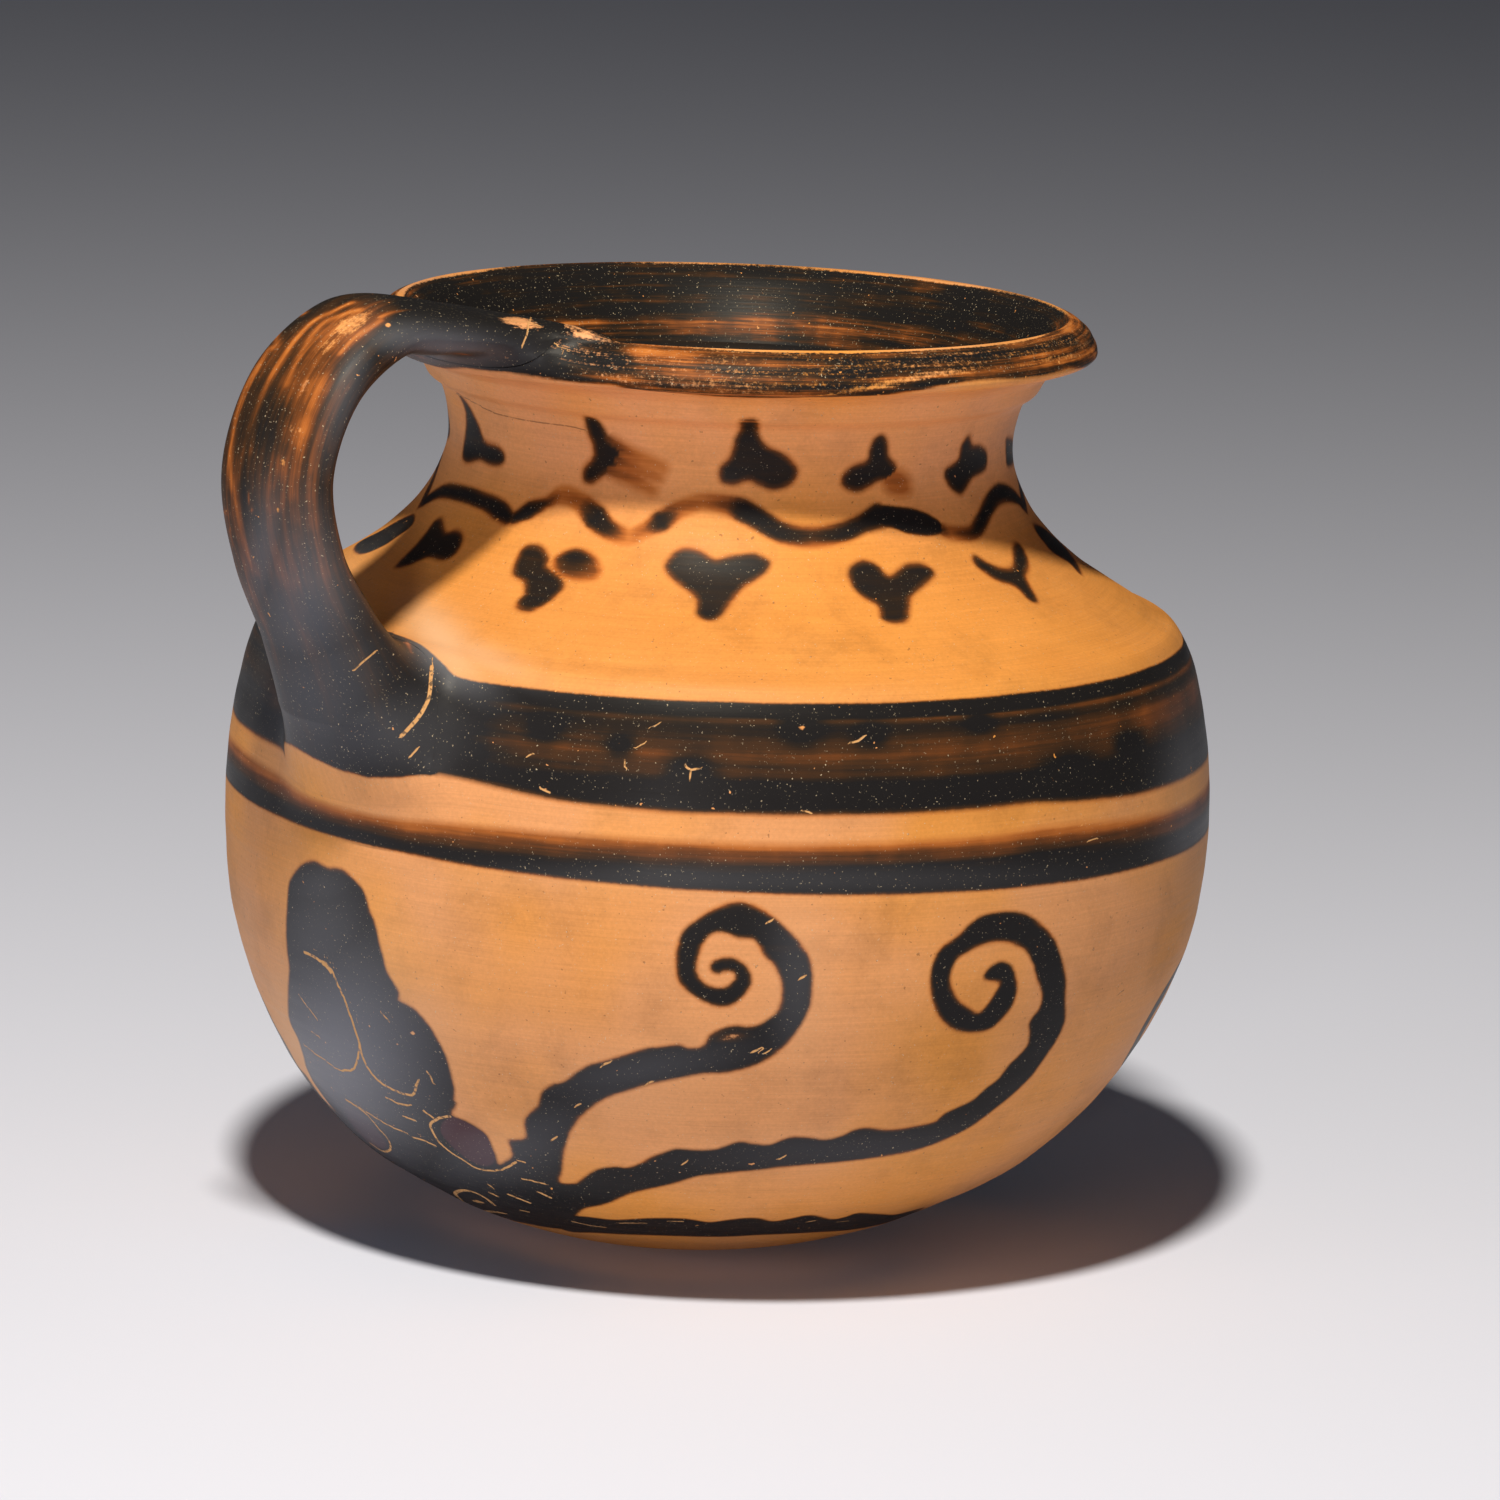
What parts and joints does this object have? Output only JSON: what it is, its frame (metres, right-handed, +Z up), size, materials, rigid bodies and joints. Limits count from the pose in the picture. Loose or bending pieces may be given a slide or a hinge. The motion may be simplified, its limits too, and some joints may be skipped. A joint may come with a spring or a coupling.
{
  "type": "mug",
  "caption": "Round clay drinking mug with a drawn-in neck, a rolled lip and a strap handle, painted with bands, ivy leaves, a wavy vine and curling octopus arms.",
  "frame": {"origin": "centre of the flat resting face, on the upright axis of the mouth and neck", "axes": "+Z up from the table; the handle stands out towards -X, so +X points away from the handle"},
  "size_m": [0.1364, 0.12, 0.1178],
  "materials": {
    "bare_clay": "fine burnished orange clay, matt to satin, with fine turning streaks, specks and rubbed patches",
    "figured_clay": "burnished orange clay under black-brown slip bands, ivy leaves, a vine and octopus figures with cut lines",
    "gloss_slip": "streaky black to brown gloss slip, worn through to orange clay on ridges and edges"
  },
  "bodies": {
    "root": {"base_disc": "bare_clay", "bowl_wall": "figured_clay", "belly_wall": "figured_clay", "shoulder": "figured_clay", "neck": "figured_clay", "lip": "gloss_slip", "handle_upper_lute": "gloss_slip", "handle_strap": "gloss_slip", "handle_lower_lute": "gloss_slip"}
  },
  "joints": []
}
